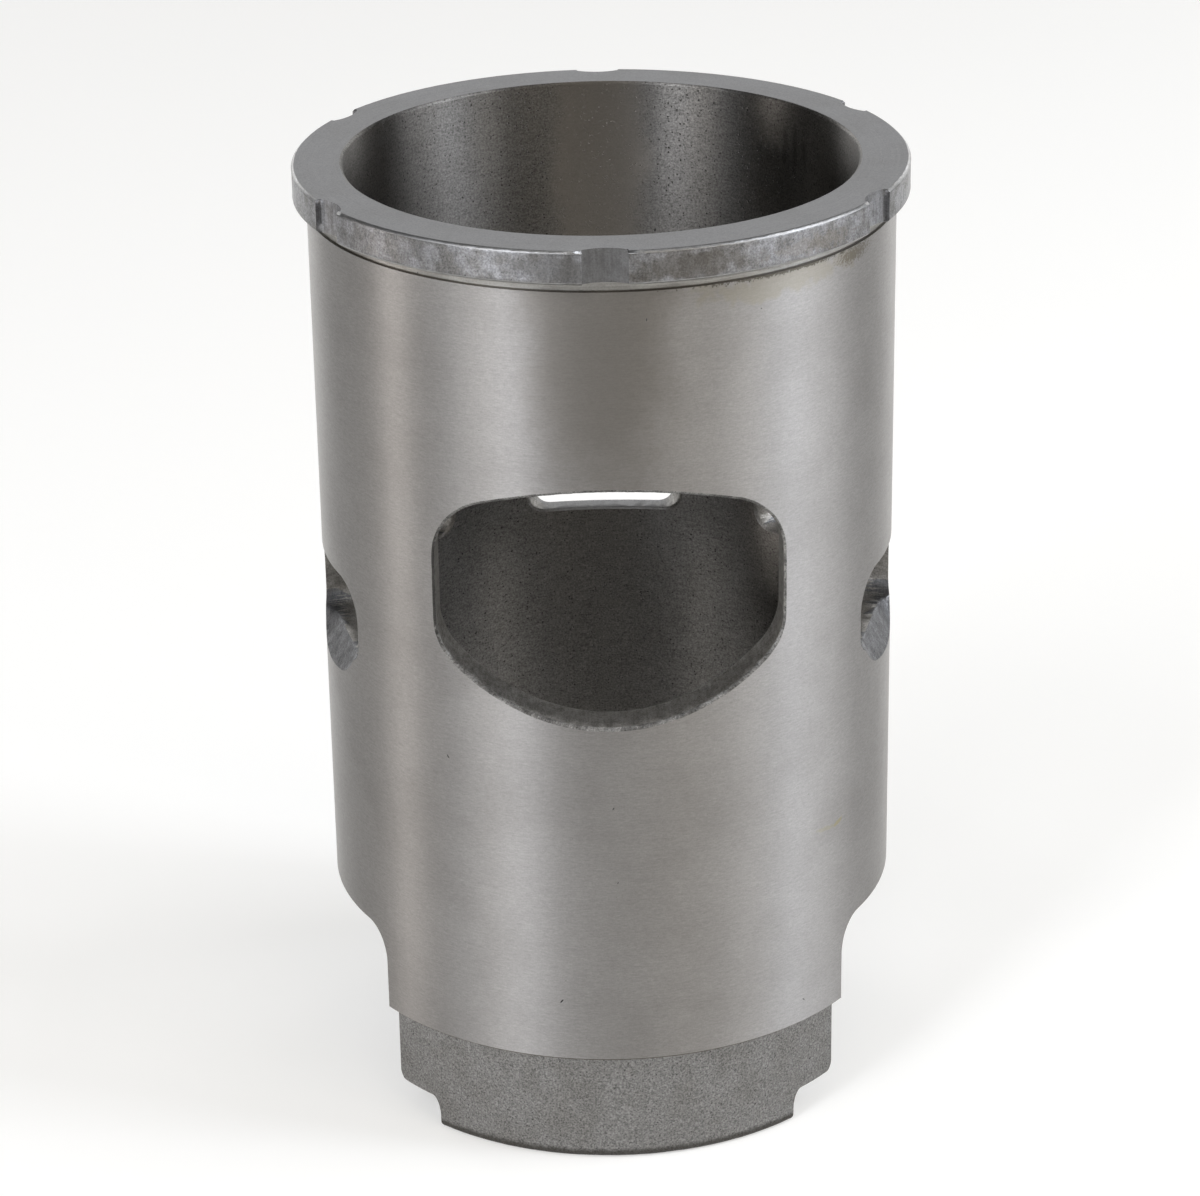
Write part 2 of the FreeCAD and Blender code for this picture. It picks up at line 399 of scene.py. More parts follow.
def pits_group() -> bpy.types.NodeTree:
    """Group of scattered pits: the near part of some cells of a Voronoi pattern.

    The pattern is bent by fine noise, so that the pits aren't round. Their size changes from
    cell to cell, and each has a sloping side and a flat bottom.

    Returns:
        The group, which puts out 1 at the bottom of a pit and 0 outside.
    """
    bends_per_mm, bend = 4.0, 0.08
    smallest, side = 0.4, 0.6
    board, given, result = new_group("pits", {"Spacing": 2.0, "Pit Radius": 0.15, "Share": 0.3}, "Pits")
    place = board.place()
    sway = board.times(board.noise(board.scaled(place, bends_per_mm)), bend)
    bent = board.add("VectorMath", {0: place, 1: board.join(sway, sway, sway)}, operation="ADD").outputs[0]
    cells = board.add("TexVoronoi", {
        "Vector": board.scaled(bent, board.math("DIVIDE", 1.0, given["Spacing"])), "Scale": 1.0
    }).outputs
    chance, size, _ = board.split(cells["Color"])
    radius = board.times(given["Pit Radius"], board.math("ADD", size, smallest))
    distance = board.times(cells["Distance"], given["Spacing"])
    near = board.math("DIVIDE", board.math("SUBTRACT", radius, distance), radius)
    kept = board.math("LESS_THAN", chance, given["Share"])
    board.feed(result, board.times(board.step(near, 0.0, side), kept))
    return board.tree


def stain_or_painted_light_group() -> bpy.types.NodeTree:
    """Group of one stain or one patch of painted shade or painted highlight: an ellipse on the unrolled wall
    with a ragged edge.

    Arcs are measured at the body's radius. The mask falls off from half of the way out to the
    ellipse's edge, and noise moves that fall. Stripes are a cosine along the ellipse.

    Returns:
        The group, which puts out 1 inside the patch and 0 outside.
    """
    board, given, result = new_group("stain_or_painted_light", {
        "Azimuth": 0.0, "Height": 0.0, "Half Length": 2.0, "Half Height": 1.0, "Tilt": 0.0,
        "Raggedness": 0.3, "Grain Size": 0.8, "Stripes": 0.0,
    }, "Mask")
    place = board.place()
    x, y, z = board.split(place)
    azimuth = board.math("ARCTAN2", x, board.times(y, -1.0))
    turn = board.math("SUBTRACT", azimuth, board.math("RADIANS", given["Azimuth"]))
    arc = board.times(turn, LinerSizes.body_radius / MM)
    rise = board.math("SUBTRACT", z, given["Height"])
    back = board.times(board.math("RADIANS", given["Tilt"]), -1.0)
    along, upwards, _ = board.split(board.turned(board.join(arc, rise, 0.0), back, "Z_AXIS"))
    share_along = board.math("DIVIDE", along, given["Half Length"])
    share_up = board.math("DIVIDE", upwards, given["Half Height"])
    distance = board.diagonal(share_along, share_up)
    grain = board.noise(board.scaled(place, board.math("DIVIDE", 1.0, given["Grain Size"])), 3.0, 0.6)
    edge = board.total(distance, board.times(grain, given["Raggedness"]))
    inside = board.math("SUBTRACT", 1.0, board.step(edge, 0.5, 1.0))
    phase = board.times(share_along, math.pi, given["Stripes"])
    dips = board.math("SUBTRACT", 1.0, board.math("COSINE", phase))
    striped = board.times(dips, board.math("MINIMUM", given["Stripes"], 0.5))
    board.feed(result, board.times(inside, board.math("SUBTRACT", 1.0, striped)))
    return board.tree


@dataclass(frozen=True)
class ToolLines:
    """One set of tool marks: its lay, the marks' width and length, contrast and depth."""

    lay: Lay
    width: float
    length: float
    contrast: float
    depth: float


@dataclass(frozen=True)
class Sand:
    """Grain with no direction: its size, contrast and depth."""

    size: float
    contrast: float
    depth: float


@dataclass(frozen=True)
class Clouds:
    """Large soft patches of another tone: their size, and the noise where they start and end."""

    size: float
    tone: Tone
    start: float = -0.4
    end: float = 0.6


@dataclass(frozen=True)
class Pits:
    """Scattered pits: their spacing, radius, the share of places that have one, depth and shade."""

    spacing: float
    radius: float
    share: float
    depth: float
    darkness: float


@dataclass(frozen=True)
class StainOrPaintedLight:
    """One stain, or one patch of painted shade or painted highlight, on the wall: where it lies, how large it
    is and what it does to the tone.
    """

    azimuth: float
    height: float
    half_length: float
    half_height: float
    tone: Tone
    strength: float
    tilt: float = 0.0
    raggedness: float = 0.3
    grain_size: float = 0.8
    stripes: float = 0.0


def across_back(stain_or_painted_light: StainOrPaintedLight) -> tuple[StainOrPaintedLight, StainOrPaintedLight]:
    """A stain or patch of painted light at the back and its copy a full turn away, because azimuths jump
    there.
    """
    return stain_or_painted_light, replace(stain_or_painted_light, azimuth=stain_or_painted_light.azimuth - 360)


@dataclass(frozen=True)
class Nick:
    """One dent in the ground wall: its place, half sizes, depth and the tilt of its length."""

    azimuth: float
    height: float
    half_length: float
    half_width: float
    depth: float
    tilt: float
    darkness: float

    def stain_or_painted_light(self) -> StainOrPaintedLight:
        """The dark inside of the dent."""
        return StainOrPaintedLight(
            self.azimuth, self.height, self.half_length, self.half_width, NICK_TONE, self.darkness,
            tilt=self.tilt, raggedness=0.15, grain_size=0.3,
        )


@dataclass(frozen=True)
class Finish:
    """One way the iron was finished, and what its material is made of."""

    name: str
    tone: Tone
    roughness: float
    sand: Sand
    clouds: Clouds
    pits: Pits
    lines: tuple[ToolLines, ...] = ()
    stains_and_painted_light: tuple[StainOrPaintedLight, ...] = ()
    anisotropy: float = 0.0
    roughness_swing: float = 0.6
    stain_or_painted_light_roughness: float = 0.12

    def material(self, groups: dict[object, bpy.types.NodeTree]) -> bpy.types.Material:
        """Builds the finish's material.

        Marks and grain add up to one swing about 0, which lightens the tone, smooths it and raises the
        relief. Pits then darken what they cover, and stains and patches of painted shade or painted highlight
        lay their own tone over it.

        Args:
            groups: Shared shader groups, by their lay or their name.

        Returns:
            The material.
        """
        material = bpy.data.materials.new(self.name)
        material.use_nodes = True
        board = Board(material.node_tree)
        sand = board.group(groups["sand"], {"Grain Size": self.sand.size})
        swing = board.times(sand, self.sand.contrast)
        relief = board.times(sand, self.sand.depth)
        for marks in self.lines:
            lines = board.group(groups[marks.lay], {"Line Width": marks.width, "Line Length": marks.length})
            swing = board.math("MULTIPLY_ADD", lines, marks.contrast, swing)
            relief = board.math("MULTIPLY_ADD", lines, marks.depth, relief)
        clouds = board.group(groups["sand"], {"Grain Size": self.clouds.size, "Detail": 5.0})
        covered = board.step(clouds, self.clouds.start, self.clouds.end)
        tone = board.mix(covered, (*self.tone, 1.0), (*self.clouds.tone, 1.0))
        tone = board.mix(1.0, tone, board.math("ADD", swing, 1.0), "MULTIPLY")
        pits = board.group(groups["pits"], {
            "Spacing": self.pits.spacing, "Pit Radius": self.pits.radius, "Share": self.pits.share
        })
        tone = board.mix(board.times(pits, self.pits.darkness), tone, (*PIT_TONE, 1.0))
        relief = board.math("MULTIPLY_ADD", pits, -self.pits.depth, relief)
        roughness = board.math("MULTIPLY_ADD", swing, -self.roughness_swing * self.roughness, self.roughness)
        for stain_or_painted_light in self.stains_and_painted_light:
            mask = board.group(groups["stain_or_painted_light"], {
                "Azimuth": stain_or_painted_light.azimuth, "Height": stain_or_painted_light.height, "Half Length": stain_or_painted_light.half_length,
                "Half Height": stain_or_painted_light.half_height, "Tilt": stain_or_painted_light.tilt, "Raggedness": stain_or_painted_light.raggedness,
                "Grain Size": stain_or_painted_light.grain_size, "Stripes": stain_or_painted_light.stripes,
            })
            mask = board.times(mask, stain_or_painted_light.strength)
            tone = board.mix(mask, tone, (*stain_or_painted_light.tone, 1.0))
            roughness = board.math("MULTIPLY_ADD", mask, self.stain_or_painted_light_roughness, roughness)
        normal = board.add("Bump", {"Height": relief, "Distance": MM, "Strength": 1.0}).outputs[0]
        principled = board.add("BsdfPrincipled", {
            "Base Color": tone, "Roughness": roughness, "Normal": normal, "Metallic": 1.0,
            "Anisotropic": self.anisotropy, "Anisotropic Rotation": 0.25,
        })
        board.add("OutputMaterial", {"Surface": principled.outputs[0]})
        return material


NICKS = (
    Nick(-33.6, 69.1, 0.52, 0.13, 0.06, -55, 0.85),
    Nick(-10.7, 29.4, 0.50, 0.16, 0.10, 50, 0.9),
    Nick(41.1, 23.0, 0.38, 0.14, 0.07, -50, 0.6),
    Nick(0.7, 50.5, 0.24, 0.12, 0.05, 70, 0.6),
    Nick(0.0, 63.3, 0.30, 0.13, 0.06, 60, 0.8),
    Nick(7.4, 142.4, 0.28, 0.14, 0.08, 90, 0.7),
    Nick(30.0, 141.8, 0.16, 0.14, 0.05, 0, 0.6),
)

FINISHES = {
    Zone.GROUND_BODY: Finish(
        "ground_iron", (0.338, 0.327, 0.317), 0.50,
        Sand(0.26, 0.07, 0.0006), Clouds(16.0, (0.308, 0.297, 0.287)), Pits(1.6, 0.09, 0.2, 0.006, 0.5),
        lines=(ToolLines(Lay.AROUND, 0.2, 0.9, 0.08, 0.0008), ToolLines(Lay.AROUND, 0.5, 6.0, 0.025, 0.0005)),
        stains_and_painted_light=(
            # Painted shade: a dark warm band down the front middle of the ground wall, from the flange down
            # and fading out some 50 mm below it, paints a dark reflection.
            StainOrPaintedLight(-0.8, 150.0, 14.5, 50.0, (0.245, 0.228, 0.206), 0.68, 0, 0.15, 14.0),
            StainOrPaintedLight(36, 145.2, 18.0, 2.8, (0.318, 0.294, 0.238), 0.55, raggedness=0.6, grain_size=4.0),
            StainOrPaintedLight(55.0, 145.6, 4.6, 1.3, (0.180, 0.155, 0.115), 0.65, 3, 1.0, 0.35),
            StainOrPaintedLight(36, 146.7, 17.0, 0.4, (0.100, 0.088, 0.070), 0.75, 0, 0.9, 0.4),
            StainOrPaintedLight(51.2, 51.7, 1.7, 0.42, (0.360, 0.325, 0.215), 0.9, 20, 0.4, 0.7),
            StainOrPaintedLight(47.0, 51.8, 3.0, 0.45, (0.345, 0.322, 0.245), 0.55, -8, 0.5, 0.9),
            *(nick.stain_or_painted_light() for nick in NICKS),
        ),
        anisotropy=0.88,
    ),
    Zone.DECK: Finish(
        "faced_iron", (0.302, 0.302, 0.308), 0.45,
        Sand(0.24, 0.12, 0.001), Clouds(11.0, (0.282, 0.281, 0.284)), Pits(3.5, 0.1, 0.12, 0.01, 0.5),
        lines=(ToolLines(Lay.FACED, 0.12, 14.0, 0.045, 0.0008),),
    ),
    Zone.FLANGE_RIM: Finish(
        "rough_turned_iron", (0.262, 0.263, 0.273), 0.42,
        Sand(0.3, 0.36, 0.008), Clouds(3.6, (0.160, 0.156, 0.152), -0.6, 0.6),
        Pits(0.85, 0.13, 0.4, 0.03, 0.7),
        lines=(ToolLines(Lay.UPRIGHT, 0.7, 2.6, 0.14, 0.004), ToolLines(Lay.AROUND, 0.3, 3.0, 0.07, 0.002)),
        stains_and_painted_light=(
            StainOrPaintedLight(16, 150.9, 11.0, 2.6, (0.115, 0.104, 0.090), 0.55, 0, 0.5, 2.5),
            StainOrPaintedLight(-8, 150.9, 6.5, 3.2, (0.150, 0.147, 0.144), 0.5, 0, 0.4, 2.0),
            StainOrPaintedLight(40, 150.6, 9.0, 1.8, (0.150, 0.128, 0.100), 0.4, 0, 0.8, 0.9),
        ),
        anisotropy=0.8,
    ),
    Zone.STUD_NOTCH: Finish(
        "notched_iron", (0.245, 0.246, 0.254), 0.48,
        Sand(0.28, 0.26, 0.006), Clouds(2.0, (0.170, 0.168, 0.168)), Pits(0.8, 0.13, 0.35, 0.03, 0.65),
        lines=(ToolLines(Lay.UPRIGHT, 0.4, 5.0, 0.2, 0.006),),
        stains_and_painted_light=(StainOrPaintedLight(0, 151.0, 8.0, 8.0, (0.115, 0.113, 0.112), 0.75, 0, 0.2, 2.0),),
    ),
    Zone.TURNED_STEP: Finish(
        # Painted light: the turned iron's tone is set lighter than the ground wall's, so that the relief
        # under the flange looks lit though it lies in the flange's shade.
        "turned_iron_painted_light", (0.400, 0.390, 0.370), 0.50,
        Sand(0.3, 0.1, 0.002), Clouds(4.0, (0.350, 0.340, 0.320)), Pits(1.2, 0.12, 0.3, 0.02, 0.6),
        lines=(ToolLines(Lay.AROUND, 0.3, 8.0, 0.12, 0.003),),
        stains_and_painted_light=(
            # Painted shade: a thin dark line all round at the foot of the relief, where the ledge under the
            # flange lies in shade.
            StainOrPaintedLight(0, 146.88, ALL_ROUND, 0.17, (0.110, 0.099, 0.082), 0.8, 0, 0.15, 1.0),
            StainOrPaintedLight(0, 18.9, ALL_ROUND, 1.2, (0.080, 0.068, 0.050), 0.9, 0, 0.15, 1.0),
        ),
        anisotropy=0.85,
    ),
    Zone.HONED_BORE: Finish(
        "honed_iron", (0.205, 0.197, 0.186), 0.46,
        Sand(0.32, 0.42, 0.003), Clouds(9.0, (0.190, 0.182, 0.170)), Pits(0.6, 0.165, 0.6, 0.03, 0.85),
        lines=(
            ToolLines(Lay.RISING, 0.4, 3.0, 0.07, 0.0014), ToolLines(Lay.FALLING, 0.4, 3.0, 0.07, 0.0014),
            ToolLines(Lay.AROUND, 0.2, 3.0, 0.13, 0.0014),
        ),
        stains_and_painted_light=(
            StainOrPaintedLight(128.0, 146.4, 6.5, 4.6, (0.070, 0.066, 0.060), 0.45, 0, 0.5, 2.0, 5.0),
            # Painted highlight: a lighter warm band high on the bore's rear wall, with its copy a turn away,
            # paints a reflection there.
            *across_back(StainOrPaintedLight(180.0, 140.0, 11.0, 30.0, (0.300, 0.278, 0.250), 0.9, 0, 0.15, 10.0)),
        ),
        anisotropy=0.95,
        roughness_swing=0.3,
    ),
    Zone.PORT_WALL: Finish(
        "milled_iron", (0.320, 0.308, 0.287), 0.52,
        Sand(0.28, 0.3, 0.010), Clouds(1.6, (0.235, 0.225, 0.208)), Pits(0.7, 0.12, 0.4, 0.03, 0.65),
        lines=(ToolLines(Lay.THROUGH_PORT, 0.38, 3.0, 0.2, 0.010),),
        # Painted light: a pale cool band low on the port walls at the back, with its copy a turn away, paints
        # light falling on them.
        stains_and_painted_light=across_back(StainOrPaintedLight(180.0, 77.5, 16.0, 3.5, (0.400, 0.400, 0.410), 0.85, 0, 0.2, 2.0)),
    ),
    Zone.PORT_RIM: Finish(
        "deburred_iron", (0.250, 0.245, 0.235), 0.50,
        Sand(0.24, 0.5, 0.02), Clouds(2.6, (0.140, 0.136, 0.130), -0.3, 0.3),
        Pits(0.55, 0.12, 0.5, 0.04, 0.8),
        lines=(ToolLines(Lay.THROUGH_PORT, 0.34, 1.5, 0.3, 0.02),),
        stains_and_painted_light=(StainOrPaintedLight(-36.5, 98.0, 2.6, 14.0, (0.050, 0.048, 0.045), 0.9, 0, 0.3, 0.6),),
    ),
    Zone.TRANSFER_RAMP: Finish(
        "rough_milled_iron", (0.195, 0.197, 0.203), 0.50,
        Sand(0.28, 0.26, 0.010), Clouds(2.2, (0.130, 0.130, 0.133)), Pits(0.9, 0.14, 0.4, 0.04, 0.8),
        lines=(ToolLines(Lay.OBLIQUE, 0.36, 3.0, 0.2, 0.010),),
    ),
    Zone.CAST_SKIRT: Finish(
        "cast_iron_skin", (0.232, 0.228, 0.222), 0.55,
        Sand(0.3, 0.46, 0.025), Clouds(5.0, (0.205, 0.200, 0.192)), Pits(0.55, 0.14, 0.5, 0.04, 0.75),
        stains_and_painted_light=(
            StainOrPaintedLight(0, 0.0, ALL_ROUND, 1.9, (0.075, 0.070, 0.063), 0.85, 0, 0.12, 2.0),
            StainOrPaintedLight(0, 18.6, ALL_ROUND, 0.55, (0.110, 0.094, 0.072), 0.85, 0, 0.25, 1.0),
        ),
    ),
    Zone.MILLED_CUTOUT: Finish(
        "milled_edge_iron", (0.235, 0.230, 0.222), 0.46,
        Sand(0.3, 0.1, 0.004), Clouds(4.0, (0.195, 0.190, 0.182)), Pits(2.0, 0.12, 0.2, 0.02, 0.6),
        lines=(ToolLines(Lay.AROUND, 0.4, 3.0, 0.12, 0.004),),
    ),
    Zone.BROKEN_EDGE: Finish(
        "broken_edge_iron", (0.360, 0.360, 0.360), 0.40,
        Sand(0.35, 0.15, 0.003), Clouds(3.0, (0.310, 0.307, 0.300)), Pits(2.2, 0.12, 0.12, 0.02, 0.6),
    ),
}


@dataclass(frozen=True)
class ZoneLimits:
    """Limits that tell the zones' faces apart: metres, degrees, and parts of a unit normal.

    Names that end in out or up are limits of the part of a normal that points away from the
    axis or upwards.
    """

    near: float = 0.06 * MM
    port_foot_gap: float = 2.0 * MM
    exhaust_front: float = -28.0 * MM
    exhaust_azimuth: float = 50.0
    exhaust_rim_radius: float = 45.25 * MM
    exhaust_rim_out: float = 0.35
    ramp_azimuths: tuple[float, float] = (55.0, 150.0)
    ramp_radius: float = 42.9 * MM
    ramp_up: float = 0.3
    wall_out: float = 0.95
    turned_radius: float = 45.0 * MM
    rim_out: float = 0.5
    broken_edge_up: float = 0.4
    deck_up: float = 0.6
    deck_skin: float = 0.02 * MM
    bore_edge: float = 1.0 * MM
    skirt_edge: float = 1.05 * MM
    skirt_out: float = 0.05
    cutout_azimuths: tuple[float, float] = (70.0, 110.0)
    cutout_out: float = 0.8
    cutout_up: tuple[float, float] = (-0.2, 0.9)
    lathe_edge: float = 0.35 * MM


@dataclass(frozen=True)
class Relief:
    """Roughness of a zone that is cut in the mesh itself, in metres."""

    grid: float
    lump: float
    depth: float
    seed: int
    swell: float = 3.0
    lump_share: float = 0.65

    def sink(self, places: np.ndarray) -> np.ndarray:
        """How far the surface sinks: half the depth times 1 plus noise of lumps and swells.

        Args:
            places: Points of the surface, one row each.

        Returns:
            One distance per point.
        """
        spacings = (self.lump, self.lump * self.swell)
        lumps = mixed_noise(places, spacings, self.lump_share, (self.seed, self.seed + 1))
        return self.depth * (0.5 + 0.5 * lumps)


@dataclass
class CylinderLiner:
    """The liner: the solid's own surface, sliced finely, with its zones told apart.

    Planes through the axis and level planes cut the whole surface, and finer ones the rough
    zones. Slicing leaves points on the chords of the round walls, which then move out to
    them, if they lie within the round tolerance.
    """

    sizes: LinerSizes = field(default_factory=LinerSizes)
    limits: ZoneLimits = field(default_factory=ZoneLimits)
    meridian_count: int = 56
    row_height: float = 2.7 * MM
    merge_distance: float = 2e-6
    round_tolerance: float = 0.05 * MM
    smooth_angle: float = math.radians(28)
    tooth_pitch: float = 0.42 * MM
    tooth_share: float = 0.6
    rim_spacings: tuple[float, float] = (0.546 * MM, 4.0 * MM)
    rim_seeds: tuple[int, int] = (17, 19)
    rim_raggedness: float = 0.05 * MM
    nick_steps: tuple[tuple[float, int], ...] = ((2.4 * MM, 2), (1.1 * MM, 7))
    reliefs: dict[Zone, Relief] = field(default_factory=lambda: {
        Zone.CAST_SKIRT: Relief(0.75 * MM, 1.1 * MM, 0.05 * MM, 3),
        Zone.FLANGE_RIM: Relief(0.9 * MM, 2.2 * MM, 0.05 * MM, 5),
        Zone.STUD_NOTCH: Relief(0.7 * MM, 1.2 * MM, 0.05 * MM, 7),
        Zone.TRANSFER_RAMP: Relief(0.7 * MM, 1.3 * MM, 0.07 * MM, 11),
    })

    def sliced(self) -> bmesh.types.BMesh:
        """Merged copy of the solid's mesh, cut finely where it is rough and evenly elsewhere.

        Returns:
            The cut mesh, which the caller frees.
        """
        mesh = bmesh.new()
        mesh.from_mesh(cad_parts["cylinder_liner"].data)
        bmesh.ops.remove_doubles(mesh, verts=mesh.verts, dist=self.merge_distance)
        self.cut_rough_zones(mesh)
        planes = self.meridians(math.pi / self.meridian_count)
        planes += self.levels(0, self.sizes.total_length, self.row_height)
        self.cut(mesh, mesh.faces[:], planes)
        self.cut_nicks(mesh)
        return mesh

    def meridians(self, step: float) -> list[Plane]:
        """Planes through the bore's axis, at even steps all round."""
        turns = np.arange(0, math.pi - step / 2, step)
        return [((0, 0, 0), (math.cos(turn), math.sin(turn), 0)) for turn in turns]

    def levels(self, low: float, high: float, step: float) -> list[Plane]:
        """Level planes at even steps between two heights."""
        return [((0, 0, height), (0, 0, 1)) for height in np.arange(low + step / 2, high, step)]

    def cut(self, mesh: bmesh.types.BMesh, faces: list[bmesh.types.BMFace], planes: list[Plane]) -> None:
        """Cuts some faces of the mesh along planes.

        Args:
            mesh: The mesh.
            faces: Faces to cut, whose neighbours only take the new corners.
            planes: A point and a normal for each plane.
        """
        edges = dict.fromkeys(edge for face in faces for edge in face.edges)
        corners = dict.fromkeys(corner for face in faces for corner in face.verts)
        pieces = [*faces, *edges, *corners]
        for place, normal in planes:
            pieces = bmesh.ops.bisect_plane(
                mesh, geom=pieces, dist=1e-6, plane_co=place, plane_no=normal
            )["geom"]

    def cut_rough_zones(self, mesh: bmesh.types.BMesh) -> None:
        """Cuts the zones that get lumps, and the exhaust port's wall and rim, finer.

        The port is cut by planes through its middle line, so that the cuts cross its rim.

        Args:
            mesh: The mesh.
        """
        sizes = self.sizes
        faces = self.faces_by_zone(mesh)
        for zone, relief in self.reliefs.items():
            heights = [corner.co.z for face in faces[zone] for corner in face.verts]
            planes = self.levels(min(heights), max(heights), relief.grid)
            self.cut(mesh, faces[zone], planes + self.meridians(relief.grid / sizes.body_radius))
        port = faces[Zone.PORT_RIM]
        port += [
            face for face in faces[Zone.PORT_WALL]
            if face.calc_center_median().y < self.limits.exhaust_front
        ]
        turns = np.arange(0, math.pi, self.tooth_pitch / sizes.port_reach)
        middle = (0, 0, sizes.port_centre)
        self.cut(mesh, port, [(middle, (math.cos(turn), 0, math.sin(turn))) for turn in turns])

    def cut_nicks(self, mesh: bmesh.types.BMesh) -> None:
        """Divides the faces round each nick into a fine grid, in steps of less and less reach."""
        middles = [self.on_body(nick) for nick in NICKS]
        for reach, cuts in self.nick_steps:
            near = [
                face for face in self.faces_by_zone(mesh)[Zone.GROUND_BODY]
                if min((face.calc_center_median() - middle).length for middle in middles) < reach
            ]
            edges = list(dict.fromkeys(edge for face in near for edge in face.edges))
            bmesh.ops.subdivide_edges(mesh, edges=edges, cuts=cuts, use_grid_fill=True)

    def on_body(self, nick: Nick) -> Vector:
        """Place of a nick on the ground wall.

        Args:
            nick: The nick.

        Returns:
            Its middle, in metres.
        """
        azimuth = math.radians(nick.azimuth)
        radius = self.sizes.body_radius
        return Vector((radius * math.sin(azimuth), -radius * math.cos(azimuth), nick.height * MM))

    def faces_by_zone(self, mesh: bmesh.types.BMesh) -> dict[Zone, list[bmesh.types.BMFace]]:
        """Faces of the mesh, sorted into their zones.

        Args:
            mesh: The mesh.

        Returns:
            A list of faces for each zone.
        """
        mesh.normal_update()
        mesh.faces.ensure_lookup_table()
        centres = np.array([face.calc_center_median() for face in mesh.faces])
        normals = np.array([face.normal for face in mesh.faces])
        zone = self.zones(centres, normals)
        return {kind: [mesh.faces[index] for index in np.flatnonzero(zone == kind.value)] for kind in Zone}

    def rounded(self, points: np.ndarray) -> np.ndarray:
        """Points that slicing left on a chord of a round wall, moved out to its radius.

        Args:
            points: Corner places, one row each.

        Returns:
            The moved points.
        """
        radius = np.hypot(points[:, 0], points[:, 1])
        true = radius.copy()
        for wall in (self.sizes.bore_radius, self.sizes.body_radius, self.sizes.flange_radius,
                     self.sizes.relief_radius, self.sizes.skirt_radius):
            true = np.where(np.abs(radius - wall) < self.round_tolerance, wall, true)
        scale = true / radius
        return points * np.column_stack([scale, scale, np.ones(len(points))])

    def zones(self, centres: np.ndarray, normals: np.ndarray) -> np.ndarray:
        """Zone number of each face, told from its place and the way it faces.

        Args:
            centres: Middle of each face, one row each.
            normals: Unit normal of each face.

        Returns:
            One zone number per face, where a later test wins over an earlier one.
        """
        sizes, limits = self.sizes, self.limits
        near = limits.near
        radius = np.hypot(centres[:, 0], centres[:, 1])
        height = centres[:, 2]
        upwards = normals[:, 2]
        outwards = (normals[:, :2] * centres[:, :2]).sum(axis=1) / radius
        azimuth = np.abs(np.degrees(np.arctan2(centres[:, 0], -centres[:, 1])))
        flange_foot = sizes.height(sizes.flange_thickness)
        relief_foot = sizes.height(sizes.flange_thickness + sizes.relief_width)
        body_foot = sizes.height(sizes.body_end_depth)
        port_foot = sizes.height(sizes.ramp_foot_depth + limits.port_foot_gap)
        zone = np.full(len(centres), Zone.MILLED_CUTOUT.value)

        def mark(kind: Zone, *tests: np.ndarray) -> None:
            """Puts the faces that pass every test in a zone."""
            zone[np.logical_and.reduce(tests)] = kind.value

        ports = (height > port_foot) & (height < relief_foot)
        at_side = (azimuth > limits.ramp_azimuths[0]) & (azimuth < limits.ramp_azimuths[1])
        at_exhaust = (azimuth < limits.exhaust_azimuth) & (radius > limits.exhaust_rim_radius)
        mark(Zone.PORT_WALL, ports)
        mark(Zone.TRANSFER_RAMP, ports, at_side, radius > limits.ramp_radius, upwards > limits.ramp_up)
        mark(Zone.PORT_RIM, ports, at_exhaust, outwards > limits.exhaust_rim_out)

        at_body = np.abs(radius - sizes.body_radius) < near
        at_bore = np.abs(radius - sizes.bore_radius) < near
        mark(Zone.GROUND_BODY, at_body, outwards > limits.wall_out, height > body_foot)
        mark(Zone.HONED_BORE, at_bore, outwards < -limits.wall_out)

        outer = radius > limits.turned_radius
        flange = outer & (height > flange_foot + near)
        rim = flange & (radius > sizes.flange_radius - sizes.flange_edge) & (outwards > limits.rim_out)
        mark(Zone.TURNED_STEP, outer, height > relief_foot - near, height < flange_foot + near)
        mark(Zone.STUD_NOTCH, flange)
        mark(Zone.FLANGE_RIM, rim)
        mark(Zone.BROKEN_EDGE, rim, np.abs(upwards) > limits.broken_edge_up)

        top = (upwards > limits.deck_up) & (height > sizes.height(sizes.flange_edge))
        in_skin = height > sizes.height(limits.deck_skin)
        mark(Zone.DECK, top, in_skin)
        mark(Zone.BROKEN_EDGE, top, ~in_skin)
        bore_edge = (height > sizes.height(limits.bore_edge)) & (height < sizes.height(limits.deck_skin))
        mark(Zone.HONED_BORE, bore_edge, radius < sizes.bore_radius + limits.bore_edge)

        skirt = (height < body_foot - near) & (outwards > limits.skirt_out)
        skirt &= radius > sizes.skirt_radius - limits.skirt_edge
        on_tongue = (azimuth < limits.cutout_azimuths[0]) | (azimuth > limits.cutout_azimuths[1])
        upright = (upwards > limits.cutout_up[0]) & (np.abs(upwards) < limits.cutout_up[1])
        mark(Zone.CAST_SKIRT, skirt, on_tongue)
        mark(Zone.MILLED_CUTOUT, skirt, upright, outwards < limits.cutout_out)

        lathe_foot = (np.abs(height - body_foot) < limits.lathe_edge) & (radius > sizes.skirt_radius)
        mark(Zone.TURNED_STEP, lathe_foot, outwards < limits.wall_out)
        return zone

